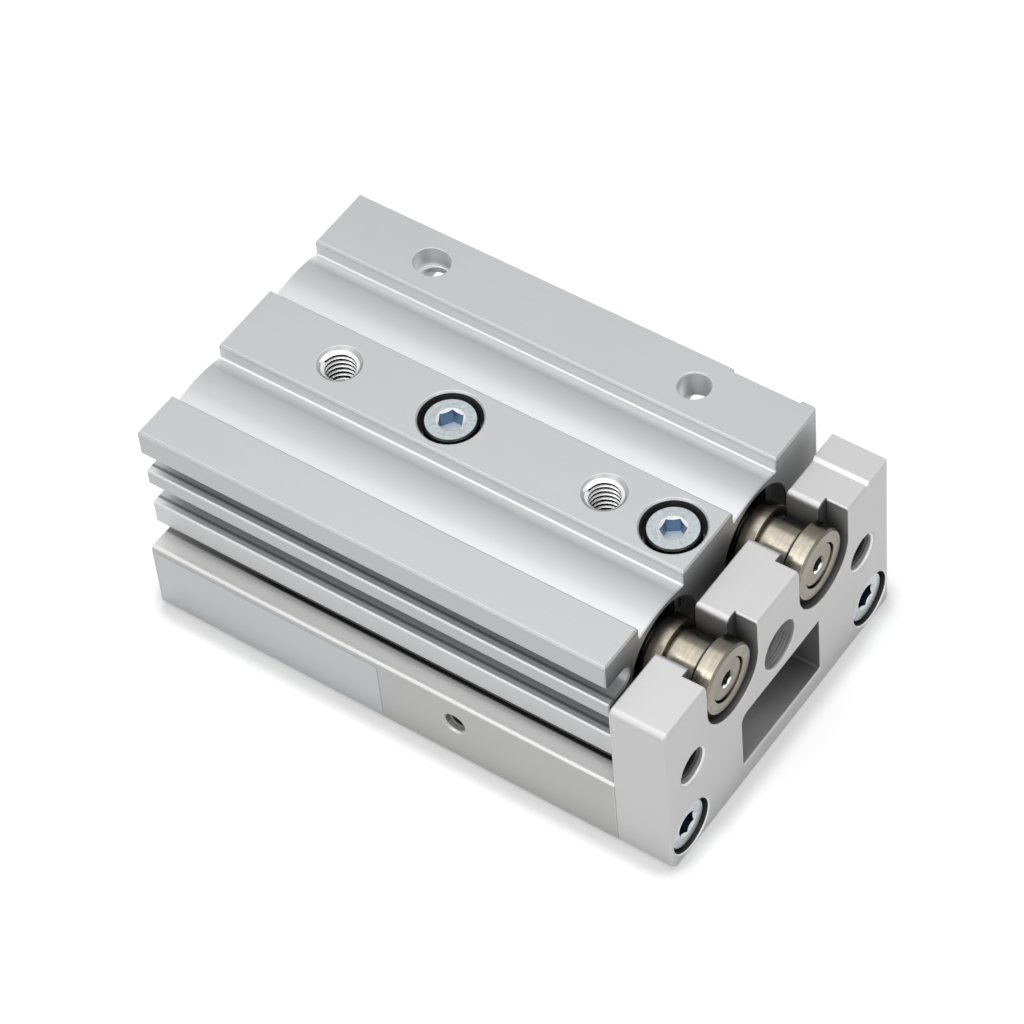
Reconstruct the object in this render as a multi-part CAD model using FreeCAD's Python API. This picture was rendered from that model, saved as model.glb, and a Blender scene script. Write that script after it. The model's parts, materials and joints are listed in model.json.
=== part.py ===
import FreeCAD, Part
import math
import os

V = FreeCAD.Vector

# Frame: X along the stroke, Y across, Z up from the table face; millimetres.
body_length = 70.0
plate_gap = 2.0
plate_thick = 8.0
width = 50.0
body_depth = 17.9
table_top = 11.7
table_gap = 1.4
stroke = 30.0

# Body section, heights given as drops from the mounting face.
near_side = 22.3
rib_side = 22.0
land_inner = 5.45
land_outer = 15.2
land_chamfer = 0.25
end_chamfer = 0.25
crest_drop = 1.63
crest_radius = 16.0
root_blend = 0.3
groove_half = 1.8
groove_depth = 4.7
groove_drops = (12.2, 6.0)
lip_chamfer = 0.2
flange_thick = 8.6
block_side = 18.0
corner_round = 1.0
edge_break = 0.15

# Twin bores.
bore_y = 10.25
bore_drop = 9.3
bore_r = 6.0
mouth_r = 7.0
mouth_depth = 2.4
ring_slot_r = 6.6
ring_slot_wide = 1.0
ring_thick = 0.9
ring_edge = 0.5
ring_step = 0.1
ring_inner_r = 5.0
ring_opening = 60.0
lug_r = 0.9
lug_hole_r = 0.4

# Holes in the body, X counted from its back end.
hole_from_back = 15.0
hole_pitch = 40.0
flange_hole_y = 20.0
flange_hole_r = 2.15
flange_hole_wall = 4.2
oblong_extra = 0.6
oblong_r = 2.32
oblong_depth = 3.3
notch_half = 3.6
notch_y = 17.0
port_from_back = (6.8, 62.2)
port_drop = 4.1
port_depth = 6.0
passage_drop = 5.4
passage_r = 0.75
flat_from_back = 57.6
flat_length = 10.1
flat_depth = 0.6

# Threads and fasteners.
m5_r = 2.5
m5_mouth_r = 3.02
m5_depth = 9.0
m4_r = 2.0
m4_pass_r = 2.25
m4_mouth_r = 2.3
m4_head_r = 3.5
m4_head = 4.0
m4_hex = 3.0
m3_r = 1.5
m3_pass_r = 1.7
m3_head_r = 2.75
m3_head = 1.9
m3_hex = 2.0
m2_r = 1.0
m2_head_r = 1.75
m2_head = 1.0
m2_hex = 1.3
m2_length = 5.0
m2_pass_r = 1.1
thread_clear = 0.05
thread_runout = 0.6
head_clear = 0.25
head_edge = 0.05
hex_depth = 0.62
socket_sink = 0.1
rail_screw_from_back = (32.0, 65.0)
rail_screw_turns = (57.5, 34.5)
rail_sink_r = 4.2
rail_sink_chamfer = 0.25
rail_head_drop = 0.4

# Guide: rail, rollers, cages and guide block.
rail_half = 5.0
rail_bottom = 6.2
rail_back_inset = 2.2
rail_front_inset = 1.0
rail_thread_end = 6.9
roller_r = 1.5
roller_length = 2.9
roller_clear = 0.03
roller_y = 6.25
roller_z = 8.7
roller_count = 8
roller_pitch = 4.4
cage_thick = 0.7
cage_half_high = 2.7
cage_end = 2.9
window_clear = 0.1
window_high = 2.25
guide_half = 14.0
guide_floor = 3.5
guide_base = 2.0
guide_inner = 7.5
guide_top_drop = 0.5
guide_inset = 0.5
guide_side_clear = 0.05
guide_screw_x = (-28.0, 21.0)
guide_screw_y = 11.2
guide_screw_end = 9.0
guide_sink = 2.2
stop_thick = 0.8
stop_half = 7.2
stop_high = 6.0
stop_screw_y = 3.4
stop_screw_rise = 2.2
stop_lift = 0.2

# Table plate.
table_back_inset = 1.1
table_round = 0.6
bottom_chamfer = 0.8
work_hole_x = -19.0
work_hole_inset = 7.0
work_depth = 8.0
access_r = 3.1
side_hole_x = 7.9
side_hole_z = 7.3
side_hole_depth = 5.0
side_mouth_r = 1.75

# End plate.
plate_drop = 4.0
far_rise = 0.35
far_wide = 4.3
far_slope = 0.4
plate_round = 1.0
slot_half = 4.06
slot_round = 0.8
pocket_half = 5.63
pocket_depth = 3.3
window_half = 8.85
window_z = (3.0, 12.8)
window_round = 0.35
window_near_round = 1.3
plate_edge_round = 0.5
seam_break = 0.12
centre_hole_r = 3.4
centre_hole_z = 17.6
plate_tap_inset = 5.8
plate_tap_z = 14.9
plate_screw_inset = 4.4
plate_screw_z = 4.2
plate_sink_r = 3.83
plate_sink = 4.6
plate_screw_length = 11.0

# Pistons, rods, covers and rod joints.
rod_r = 3.0
rod_clear = 0.05
piston_length = 10.0
piston_clear = 0.1
piston_rear_from_back = 8.0
spigot_r = 2.4
seal_clear = 0.05
seal_wide = 2.2
seal_from_front = 1.2
magnet_from_rear = 2.0
spigot_inset = 0.5
seal_root = 4.3
magnet_root = 4.0
magnet_drop = 0.2
ring_room = 0.05
cap_length = 4.5
cap_clear = 0.04
oring_r = 0.65
oring_clear = 0.07
oring_slot = 1.8
bumper_clear = 0.05
bumper_thick = 1.95
head_bumper_r = 4.6
rod_bumper_r = 5.4
cover_relief_r = 5.2
cover_land = 2.8
rod_seal_r = 4.35
rod_seal_wide = 2.0
rod_seal_back = 5.7
bush_back_r = 4.7
bush_back_wide = 2.55
bush_back_round = 0.6
bush_neck_r = 3.7
bush_head_r = 4.95
bush_sunk = 0.7
bush_float = 0.1
bush_sink_r = 3.15
bush_sink_deep = 2.65
bush_edge = 0.3
joint_head_r = 3.0
joint_head = 2.4
joint_hex = 2.0
joint_pass_r = 2.1
joint_thread = 8.3

# Reach of a cutting tool past a face, and how near a point counts as on a line.
past = 1.0
on_line = 0.01

# Positions that follow from the sizes.
half = width / 2
work_hole_y = half - work_hole_inset
far_start = half - far_wide
plate_tap_y = half - plate_tap_inset
plate_screw_y = half - plate_screw_inset
round_mid = 1 - math.sqrt(0.5)
body_bottom = table_top + table_gap
height = body_bottom + body_depth
back = -(body_length + plate_gap + plate_thick) / 2
front = back + body_length
plate_back = front + plate_gap
plate_front = plate_back + plate_thick
bore_z = height - bore_drop
table_back = back + table_back_inset
plate_top = height - plate_drop
hole_xs = (back + hole_from_back, back + hole_from_back + hole_pitch)
rail_screw_xs = tuple(back + x for x in rail_screw_from_back)
vee = (roller_r + roller_clear) * math.sqrt(2)
piston_rear = back + piston_rear_from_back
piston_front = piston_rear + piston_length
cap_rear = back + ring_edge + ring_slot_wide
cap_front = cap_rear + cap_length
cover_rear = piston_front + stroke + bumper_clear + bumper_thick
mouth_x = front - mouth_depth
ring_x = mouth_x - ring_step - ring_slot_wide
cover_front = ring_x
bush_front = plate_front - bush_sunk
bush_head_x = plate_front - pocket_depth + bush_float
bush_back_end = plate_back - bush_float
rod_front = bush_back_end - bush_back_wide

os.makedirs("parts", exist_ok=True)


def save(name, solids):
    """Write one node; several solids become one group."""
    shape = solids[0] if len(solids) == 1 else Part.makeCompound(solids)
    shape.exportStep("parts/" + name + ".step")


def box(x0, x1, y0, y1, z0, z1):
    return Part.makeBox(x1 - x0, y1 - y0, z1 - z0, V(x0, y0, z0))


def bar_x(r, x0, x1, y, z):
    return Part.makeCylinder(r, x1 - x0, V(x0, y, z), V(1, 0, 0))


def bar_y(r, y0, y1, x, z):
    return Part.makeCylinder(r, y1 - y0, V(x, y0, z), V(0, 1, 0))


def bar_z(r, z0, z1, x, y):
    return Part.makeCylinder(r, z1 - z0, V(x, y, z0), V(0, 0, 1))


def prism_x(points, x0, x1):
    """Extrude a (y, z) outline along X."""
    corners = [V(x0, y, z) for y, z in points]
    face = Part.Face(Part.makePolygon(corners + corners[:1]))
    return face.extrude(V(x1 - x0, 0, 0))


def turned(points, y, z, angle=360):
    """Turn an (x, radius) outline about an X axis through (y, z)."""
    corners = [V(x, y + r, z) for x, r in points]
    face = Part.Face(Part.makePolygon(corners + corners[:1]))
    return face.revolve(V(0, y, z), V(1, 0, 0), angle)


def ring(r0, r1, x0, x1, y, z):
    return turned([(x0, r0), (x1, r0), (x1, r1), (x0, r1)], y, z)


def oring(outer, x, y, z):
    return Part.makeTorus(outer - oring_r, oring_r, V(x, y, z), V(1, 0, 0))


def hex_key(across, tip, direction, depth, turn):
    """Hexagonal prism that cuts a key socket, from its open end inwards."""
    corner = across / math.sqrt(3)
    side = V(0, 0, 1) if abs(direction.z) < abs(direction.x) else V(1, 0, 0)
    other = side.cross(direction)
    corners = []
    for i in range(6):
        angle = math.radians(turn + 60 * i)
        corners.append(tip + side * (corner * math.cos(angle)) + other * (corner * math.sin(angle)))
    face = Part.Face(Part.makePolygon(corners + corners[:1]))
    return face.extrude(direction * depth)


def cap_screw(top, direction, head_r, head, across, shank_r, length, turn=0):
    """Socket head screw; top is the head's outer face, direction points along the shank."""
    edge = head_edge * head
    body = Part.makeCylinder(head_r, head - edge, top + direction * edge, direction)
    rim = Part.makeCone(head_r - edge, head_r, edge, top, direction)
    shank = Part.makeCylinder(shank_r, length, top + direction * head, direction)
    screw = body.fuse([rim, shank]).removeSplitter()
    sink = socket_sink * across
    mouth = Part.makeCone(across / math.sqrt(3) + sink / 2, across / 2, sink, top, direction)
    return screw.cut([hex_key(across, top, direction, hex_depth * head, turn), mouth])


def countersink(r, wide, mouth, direction):
    """Tool for a hole's chamfered mouth; direction points into the part."""
    return Part.makeCone(r + wide, r, wide, mouth, direction)


def tapped(mouth, direction, r, mouth_r, depth):
    """Tool for a tapped hole with a countersunk mouth; direction points into the part."""
    hole = Part.makeCylinder(r, depth, mouth, direction)
    return hole.fuse(countersink(r, mouth_r - r, mouth, direction))


def crest_z(offset):
    """Height of a channel's crowned floor at a distance from its centre line."""
    drop = crest_radius - math.sqrt(crest_radius ** 2 - offset ** 2)
    return height - crest_drop - drop


def line(a, b):
    return Part.LineSegment(V(back, *a), V(back, *b)).toShape()


def arc(a, b, c):
    return Part.Arc(V(back, *a), V(back, *b), V(back, *c)).toShape()


def path(points):
    return [line(a, b) for a, b in zip(points, points[1:])]


def channel(y0, y1):
    """Edges of one crowned channel from the land at y0 to the land at y1."""
    centre = (y0 + y1) / 2
    reach = (y1 - y0) / 2 - root_blend
    low = crest_z(reach)
    blend = round_mid * root_blend
    left_top = (y0, low + root_blend)
    left = (centre - reach, low)
    right = (centre + reach, low)
    right_top = (y1, low + root_blend)
    top = height - land_chamfer
    edges = path([(y0 - land_chamfer, height), (y0, top), left_top])
    edges.append(arc(left_top, (y0 + blend, low + blend), left))
    edges.append(arc(left, (centre, height - crest_drop), right))
    edges.append(arc(right, (y1 - blend, low + blend), right_top))
    return edges + path([right_top, (y1, top), (y1 + land_chamfer, height)])


def switch_groove(z, low_y, high_y):
    """Edges of one round-ended switch groove, from the face at low_y to the face at high_y."""
    low = z - groove_half
    high = z + groove_half
    end_y = groove_depth - rib_side
    centre = end_y - groove_half
    c = lip_chamfer
    edges = path([(low_y, low - c), (low_y + c, low), (centre, low)])
    edges.append(arc((centre, low), (end_y, z), (centre, high)))
    return edges + path([(centre, high), (high_y + c, high), (high_y, high + c)])


def body_blank():
    """The extruded section."""
    low_z = height - groove_drops[0]
    high_z = height - groove_drops[1]
    top = height - land_chamfer
    under = height - flange_thick
    lip = groove_half + lip_chamfer
    edges = path([(lip_chamfer - rib_side, body_bottom), (-rib_side, body_bottom + lip_chamfer),
                  (-rib_side, low_z - lip)])
    edges += switch_groove(low_z, -rib_side, -rib_side)
    edges += path([(-rib_side, low_z + lip), (-rib_side, high_z - lip)])
    edges += switch_groove(high_z, -rib_side, -near_side)
    edges += path([(-near_side, high_z + lip), (-near_side, top), (-near_side + land_chamfer, height),
                   (-land_outer - land_chamfer, height)])
    edges += channel(-land_outer, -land_inner)
    edges += path([(-land_inner + land_chamfer, height), (land_inner - land_chamfer, height)])
    edges += channel(land_inner, land_outer)
    edges += path([(land_outer + land_chamfer, height), (half - land_chamfer, height), (half, top),
                   (half, under), (block_side, under), (block_side, body_bottom),
                   (lip_chamfer - rib_side, body_bottom)])
    blank = Part.Face(Part.Wire(edges)).extrude(V(body_length, 0, 0))
    corner = [e for e in blank.Edges if is_upright(e, front, half)]
    return blank.makeFillet(corner_round, corner)


def is_upright(edge, x, y):
    return all(abs(v.X - x) < on_line and abs(v.Y - y) < on_line for v in edge.Vertexes)


def runs_along_x(edge, y, z):
    return all(abs(v.Y - y) < on_line and abs(v.Z - z) < on_line for v in edge.Vertexes)


def bore_tool(y):
    """Stepped bore with a snap ring slot at each end."""
    rear = back + ring_edge
    outline = [(back - past, 0), (back - past, bore_r), (rear, bore_r), (rear, ring_slot_r),
               (rear + ring_slot_wide, ring_slot_r), (rear + ring_slot_wide, bore_r),
               (ring_x, bore_r), (ring_x, ring_slot_r), (ring_x + ring_slot_wide, ring_slot_r),
               (ring_x + ring_slot_wide, bore_r), (mouth_x, bore_r), (mouth_x, mouth_r),
               (front + past, mouth_r), (front + past, 0)]
    return turned(outline, y, bore_z)


def cylinder_body():
    down = V(0, 0, -1)
    above = height + past
    tools = [bore_tool(side * bore_y) for side in (-1, 1)]
    for x in hole_xs:
        mouth = V(x, flange_hole_y, height)
        tools.append(tapped(V(x, 0, height), down, m5_r, m5_mouth_r, m5_depth))
        tools.append(bar_z(flange_hole_r, body_bottom, above, x, flange_hole_y))
        tools.append(countersink(flange_hole_r, edge_break, mouth, down))
        tools.append(box(x - notch_half, x + notch_half, notch_y, half + past,
                         body_bottom - past, height - flange_hole_wall))
    x = hole_xs[0]
    reach = oblong_extra / 2
    floor = height - oblong_depth
    y0 = flange_hole_y - oblong_r
    y1 = flange_hole_y + oblong_r
    tools.append(box(x - reach, x + reach, y0, y1, floor, above))
    tools += [bar_z(oblong_r, floor, above, x + side * reach, flange_hole_y) for side in (-1, 1)]
    seat = height - rail_head_drop - m4_head
    for x in rail_screw_xs:
        tools.append(bar_z(m4_pass_r, body_bottom - past, height, x, 0))
        tools.append(bar_z(rail_sink_r, seat, above, x, 0))
        tools.append(countersink(rail_sink_r, rail_sink_chamfer, V(x, 0, height), down))
    flat_x = back + flat_from_back
    flat_y = half - flat_depth
    tools.append(box(flat_x, flat_x + flat_length, flat_y, half + past, body_bottom, above))
    for x, face in zip(port_from_back, (half, flat_y)):
        port = V(back + x, face, height - port_drop)
        inner = face - port_depth + past
        tools.append(tapped(port, V(0, -1, 0), m5_r, m5_mouth_r, port_depth))
        tools.append(bar_y(passage_r, -bore_y, inner, back + x, height - passage_drop))
    for end, way in ((back, 1), (front, -1)):
        inside = end + way * end_chamfer
        outline = [(end, height - end_chamfer), (end, above), (inside, above), (inside, height)]
        corners = [V(x, -half, z) for x, z in outline]
        face = Part.Face(Part.makePolygon(corners + corners[:1]))
        tools.append(face.extrude(V(0, width, 0)))
    return body_blank().cut(tools)


def snap_ring(x, y):
    """Internal snap ring with its opening and two eyes at the bottom."""
    inner = ring_inner_r
    outer = ring_slot_r - 2 * ring_room
    x1 = x + ring_thick
    outline = [(x, inner), (x1, inner), (x1, outer), (x, outer)]
    hoop = turned(outline, y, bore_z, 360 - ring_opening)
    hoop.rotate(V(0, y, bore_z), V(1, 0, 0), 270 + ring_opening / 2)
    eyes = []
    holes = []
    for side in (-1, 1):
        turn = math.radians(270 + side * ring_opening / 2)
        eye_y = y + inner * math.cos(turn)
        eye_z = bore_z + inner * math.sin(turn)
        eyes.append(bar_x(lug_r, x, x1, eye_y, eye_z))
        holes.append(bar_x(lug_hole_r, x - past, x1 + past, eye_y, eye_z))
    return hoop.fuse(eyes).removeSplitter().cut(holes)


def head_cap(y):
    mid = (cap_rear + cap_front) / 2
    a = mid - oring_slot / 2
    b = mid + oring_slot / 2
    r = bore_r - cap_clear
    root = bore_r - oring_clear - 2 * oring_r - ring_room
    outline = [(cap_rear, 0), (cap_rear, r), (a, r), (a, root), (b, root), (b, r),
               (cap_front, r), (cap_front, 0)]
    return turned(outline, y, bore_z)


def rod_cover(y):
    r = bore_r - cap_clear
    hole = rod_r + rod_clear
    land = cover_front - cover_land
    a = cover_front - (cover_land + oring_slot) / 2
    b = a + oring_slot
    root = bore_r - oring_clear - 2 * oring_r - ring_room
    seal_a = cover_front - rod_seal_back
    seal_b = seal_a + rod_seal_wide + 2 * ring_room
    seal_r = rod_seal_r + ring_room
    outline = [(cover_rear, hole), (seal_a, hole), (seal_a, seal_r), (seal_b, seal_r), (seal_b, hole),
               (cover_front, hole), (cover_front, r), (b, r), (b, root), (a, root), (a, r), (land, r),
               (land, cover_relief_r), (cover_rear, cover_relief_r)]
    return turned(outline, y, bore_z)


def guide_rail():
    x0 = back + rail_back_inset
    x1 = front - rail_front_inset
    apex = roller_y - vee
    open_half = rail_half - apex
    right = [(rail_half, rail_bottom), (rail_half, roller_z - open_half), (apex, roller_z),
             (rail_half, roller_z + open_half), (rail_half, body_bottom)]
    left = [(-y, z) for y, z in reversed(right)]
    thread_end = rail_thread_end - thread_runout
    tools = [bar_z(m4_r, thread_end, body_bottom + past, x, 0) for x in rail_screw_xs]
    reach = m2_length + thread_runout - stop_thick
    rise = roller_z + stop_screw_rise
    for x in (x0, x1):
        tools += [bar_x(m2_r, x - reach, x + reach, side * stop_screw_y, rise) for side in (-1, 1)]
    return prism_x(right + left, x0, x1).cut(tools)


def guide_block():
    apex = roller_y + vee
    open_half = apex - guide_inner
    base = guide_floor + guide_base
    top = table_top - guide_top_drop
    side = guide_half - guide_side_clear
    right = [(side, guide_floor), (side, top), (guide_inner, top), (guide_inner, roller_z + open_half),
             (apex, roller_z), (guide_inner, roller_z - open_half), (guide_inner, base)]
    left = [(-y, z) for y, z in reversed(right)]
    end = guide_screw_end + thread_runout
    tools = []
    for x in guide_screw_x:
        tools += [bar_z(m3_r, guide_floor - past, end, x, s * guide_screw_y) for s in (-1, 1)]
    return prism_x(right + left, table_back + guide_inset, plate_back - guide_inset).cut(tools)


def slide_table():
    c = bottom_chamfer
    section = [(-half, c), (c - half, 0), (half - c, 0), (half, c), (half, table_top),
               (guide_half, table_top), (guide_half, guide_floor), (-guide_half, guide_floor),
               (-guide_half, table_top), (-half, table_top)]
    blank = prism_x(section, table_back, plate_back)
    rims = [e for e in blank.Edges for side in (-1, 1) if runs_along_x(e, side * half, table_top)]
    blank = blank.makeFillet(table_round, rims)
    seams = [e for e in blank.Edges for side in (-1, 1) if is_upright(e, plate_back, side * half)]
    blank = blank.makeChamfer(seam_break, seams)
    tools = [bar_z(access_r, -past, table_top + past, x, flange_hole_y) for x in hole_xs]
    end = plate_front - plate_sink - plate_screw_length - thread_runout
    for side in (-1, 1):
        mouth = V(side_hole_x, side * half, side_hole_z)
        tools.append(tapped(mouth, V(0, -side, 0), m3_r, side_mouth_r, side_hole_depth))
        tools.append(bar_x(m4_r, end, plate_back + past, side * plate_screw_y, plate_screw_z))
        for x in (work_hole_x, work_hole_x + hole_pitch):
            mouth = V(x, side * work_hole_y, 0)
            tools.append(tapped(mouth, V(0, 0, 1), m4_r, m4_mouth_r, work_depth))
        for x in guide_screw_x:
            y = side * guide_screw_y
            tools.append(bar_z(m3_pass_r, -past, guide_floor + past, x, y))
            tools.append(bar_z(m3_head_r + head_clear, -past, guide_sink, x, y))
    return blank.cut(tools)


def end_plate_blank():
    """The plate's outline with its raised far end, its rounded corners and its seam."""
    c = bottom_chamfer
    far_top = plate_top + far_rise
    section = [(-half, c), (c - half, 0), (half - c, 0), (half, c), (half, far_top), (far_start, far_top),
               (far_start - far_slope, plate_top), (-half, plate_top)]
    plate = prism_x(section, plate_back, plate_front)
    plate = plate.makeFillet(plate_round, [e for e in plate.Edges if runs_along_x(e, -half, plate_top)])
    uprights = [e for e in plate.Edges for side in (-1, 1) if is_upright(e, plate_front, side * half)]
    plate = plate.makeFillet(plate_edge_round, uprights)
    seams = [e for e in plate.Edges for side in (-1, 1) if is_upright(e, plate_back, side * half)]
    return plate.makeChamfer(seam_break, seams)


def joint_slot(y):
    """Tools for one open T-slot: a through slot for the neck, a wider pocket for the head."""
    tools = []
    for half_wide, x0 in ((slot_half, plate_back - past), (pocket_half, plate_front - pocket_depth)):
        x1 = plate_front + past
        tools.append(bar_x(half_wide, x0, x1, y, bore_z))
        tools.append(box(x0, x1, y - half_wide, y + half_wide, bore_z, height))
    return tools


def plate_window():
    """The window for the guide's end, with one corner rounder than the rest."""
    window = box(plate_back - past, plate_front + past, -window_half, window_half, *window_z)
    corners = [e for e in window.Edges for y in (-window_half, window_half) for z in window_z
               if runs_along_x(e, y, z)]
    near_top = [e for e in corners if runs_along_x(e, -window_half, window_z[1])]
    others = [e for e in corners if not e.isSame(near_top[0])]
    window = window.makeFillet(window_round, others)
    near_top = [e for e in window.Edges if runs_along_x(e, -window_half, window_z[1])]
    return window.makeFillet(window_near_round, near_top)


def end_plate():
    x0 = plate_back - past
    x1 = plate_front + past
    plate = end_plate_blank().cut(joint_slot(-bore_y) + joint_slot(bore_y))
    lips = [e for e in plate.Edges for a in (-bore_y, bore_y) for b in (-slot_half, slot_half)
            if runs_along_x(e, a + b, plate_top)]
    plate = plate.makeFillet(slot_round, lips)
    tools = [plate_window(), bar_x(centre_hole_r, x0, x1, 0, centre_hole_z)]
    for side in (-1, 1):
        y = side * plate_screw_y
        mouth = V(plate_front, side * plate_tap_y, plate_tap_z)
        tools.append(tapped(mouth, V(-1, 0, 0), m5_r, m5_mouth_r, plate_thick + past))
        tools.append(bar_x(m4_pass_r, x0, x1, y, plate_screw_z))
        tools.append(bar_x(plate_sink_r, plate_front - plate_sink, x1, y, plate_screw_z))
    plate = plate.cut(tools)
    flat = [f for f in plate.Faces if f.BoundBox.XLength < on_line]
    face = [f for f in flat if abs(f.CenterOfMass.x - plate_front) < on_line][0]
    return plate.makeChamfer(edge_break, face.Edges)


def piston(y):
    r = bore_r - piston_clear
    seal_b = piston_front - seal_from_front
    seal_a = seal_b - seal_wide - 2 * ring_room
    mag_a = piston_rear + magnet_from_rear
    mag_b = mag_a + seal_wide + 2 * ring_room
    hole = spigot_r + ring_room
    outline = [(piston_rear, hole), (piston_rear, r), (mag_a, r), (mag_a, magnet_root), (mag_b, magnet_root),
               (mag_b, r), (seal_a, r), (seal_a, seal_root), (seal_b, seal_root), (seal_b, r),
               (piston_front, r), (piston_front, hole)]
    return turned(outline, y, bore_z)


def piston_rod(y):
    spigot = bar_x(spigot_r, piston_rear + spigot_inset, piston_front, y, bore_z)
    rod = bar_x(rod_r, piston_front, rod_front, y, bore_z).fuse(spigot).removeSplitter()
    return rod.cut(bar_x(m4_r, rod_front - joint_thread - thread_runout, rod_front + past, y, bore_z))


def bushing(y):
    """Flanged bushing: a collar behind the end plate, a neck in its slot, a head in its pocket."""
    r = bush_back_r
    b = bush_back_round
    m = round_mid * b
    e = bush_edge
    floor = bush_front - bush_sink_deep
    outline = [(rod_front, joint_pass_r), (rod_front, r - b), (rod_front + m, r - m), (rod_front + b, r),
               (bush_back_end, r), (bush_back_end, bush_neck_r), (bush_head_x, bush_neck_r),
               (bush_head_x, bush_head_r), (bush_front - e, bush_head_r), (bush_front, bush_head_r - e),
               (bush_front, bush_sink_r), (floor, bush_sink_r), (floor, joint_pass_r)]
    return turned(outline, y, bore_z)


def roller_xs():
    middle = (back + rail_back_inset + front - rail_front_inset - stroke / 2) / 2
    return [middle + (i - (roller_count - 1) / 2) * roller_pitch for i in range(roller_count)]


def cage(side):
    xs = roller_xs()
    y0 = side * roller_y - cage_thick / 2
    y1 = side * roller_y + cage_thick / 2
    low = roller_z - cage_half_high
    high = roller_z + cage_half_high
    plate = box(xs[0] - cage_end, xs[-1] + cage_end, y0, y1, low, high)
    reach = roller_r + window_clear
    low = roller_z - window_high
    high = roller_z + window_high
    return plate.cut([box(x - reach, x + reach, y0 - past, y1 + past, low, high) for x in xs])


def rollers(side):
    made = []
    for i, x in enumerate(roller_xs()):
        lean = 1 if i % 2 else -1
        axis = V(0, lean, 1).normalize()
        start = V(x, side * roller_y, roller_z) - axis * (roller_length / 2)
        made.append(Part.makeCylinder(roller_r, roller_length, start, axis))
    return made


sides = (1, -1)
far_near = {"far": bore_y, "near": -bore_y}
both = (bore_y, -bore_y)
cap_mid = (cap_rear + cap_front) / 2
cover_seal_x = cover_front - cover_land / 2
oring_outer = bore_r - oring_clear
m4_shank = m4_r - thread_clear
m3_shank = m3_r - thread_clear
m2_shank = m2_r - thread_clear

# Fixed body.
save("cylinder_body", [cylinder_body()])
save("head_caps", [head_cap(y) for y in both])
save("head_cap_seals", [oring(oring_outer, cap_mid, y, bore_z) for y in both])
save("rear_snap_rings", [snap_ring(back + ring_edge + ring_room, y) for y in both])
save("rod_covers", [rod_cover(y) for y in both])
save("cover_seals", [oring(oring_outer, cover_seal_x, y, bore_z) for y in both])
save("front_snap_rings", [snap_ring(ring_x + ring_room, y) for y in both])
a = cover_front - rod_seal_back + ring_room
b = a + rod_seal_wide
save("rod_seals", [ring(rod_r + seal_clear, rod_seal_r, a, b, y, bore_z) for y in both])
a = cover_rear - bumper_thick
save("rod_bumpers", [ring(rod_r + head_clear, rod_bumper_r, a, cover_rear, y, bore_z) for y in both])
b = piston_rear - bumper_clear
save("head_bumpers", [bar_x(head_bumper_r, cap_front, b, y, bore_z) for y in both])
save("guide_rail", [guide_rail()])

head_z = height - rail_head_drop
length = head_z - m4_head - rail_thread_end
screws = []
for x, turn in zip(rail_screw_xs, rail_screw_turns):
    top = V(x, 0, head_z)
    screws.append(cap_screw(top, V(0, 0, -1), m4_head_r, m4_head, m4_hex, m4_shank, length, turn))
save("rail_screws", screws)

stop_z = rail_bottom + stop_lift
rise = roller_z + stop_screw_rise
stops = []
screws = []
for x, way in ((back + rail_back_inset - stop_thick, -1), (front - rail_front_inset, 1)):
    x1 = x + stop_thick
    plate = box(x, x1, -stop_half, stop_half, stop_z, stop_z + stop_high)
    holes = [bar_x(m2_pass_r, x - past, x1 + past, side * stop_screw_y, rise) for side in sides]
    stops.append(plate.cut(holes))
    head_x = x - m2_head if way < 0 else x1 + m2_head
    for side in sides:
        top = V(head_x, side * stop_screw_y, rise)
        screws.append(cap_screw(top, V(-way, 0, 0), m2_head_r, m2_head, m2_hex, m2_shank, m2_length))
save("cage_stops", stops)
save("cage_stop_screws", screws)

# Moving table.
save("slide_table", [slide_table()])
save("end_plate", [end_plate()])
head_x = plate_front - plate_sink + m4_head
screws = []
for side in sides:
    top = V(head_x, side * plate_screw_y, plate_screw_z)
    screws.append(cap_screw(top, V(-1, 0, 0), m4_head_r, m4_head, m4_hex, m4_shank, plate_screw_length))
save("end_plate_screws", screws)
save("guide_block", [guide_block()])
head_z = guide_sink - m3_head
length = guide_screw_end - guide_sink
screws = []
for x in guide_screw_x:
    for side in sides:
        top = V(x, side * guide_screw_y, head_z)
        screws.append(cap_screw(top, V(0, 0, 1), m3_head_r, m3_head, m3_hex, m3_shank, length))
save("guide_screws", screws)
for name, y in far_near.items():
    save("piston_rod_" + name, [piston_rod(y)])
    save("piston_" + name, [piston(y)])
    save("rod_bushing_" + name, [bushing(y)])
a = piston_front - seal_from_front - ring_room - seal_wide
b = a + seal_wide
save("piston_seals", [ring(seal_root + ring_room, bore_r - seal_clear, a, b, y, bore_z) for y in both])
a = piston_rear + magnet_from_rear + ring_room
b = a + seal_wide
outer = bore_r - piston_clear - magnet_drop
save("piston_magnets", [ring(magnet_root + ring_room, outer, a, b, y, bore_z) for y in both])
head_x = bush_front - bush_sink_deep + joint_head
length = head_x - joint_head - rod_front + joint_thread
screws = []
for y in both:
    top = V(head_x, y, bore_z)
    screws.append(cap_screw(top, V(-1, 0, 0), joint_head_r, joint_head, joint_hex, m4_shank, length))
save("joint_screws", screws)

# Half-speed roller cages.
for name, side in (("far", 1), ("near", -1)):
    save("roller_cage_" + name, [cage(side)])
    save("rollers_" + name, rollers(side))
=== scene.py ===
# %% [markdown]
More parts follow.
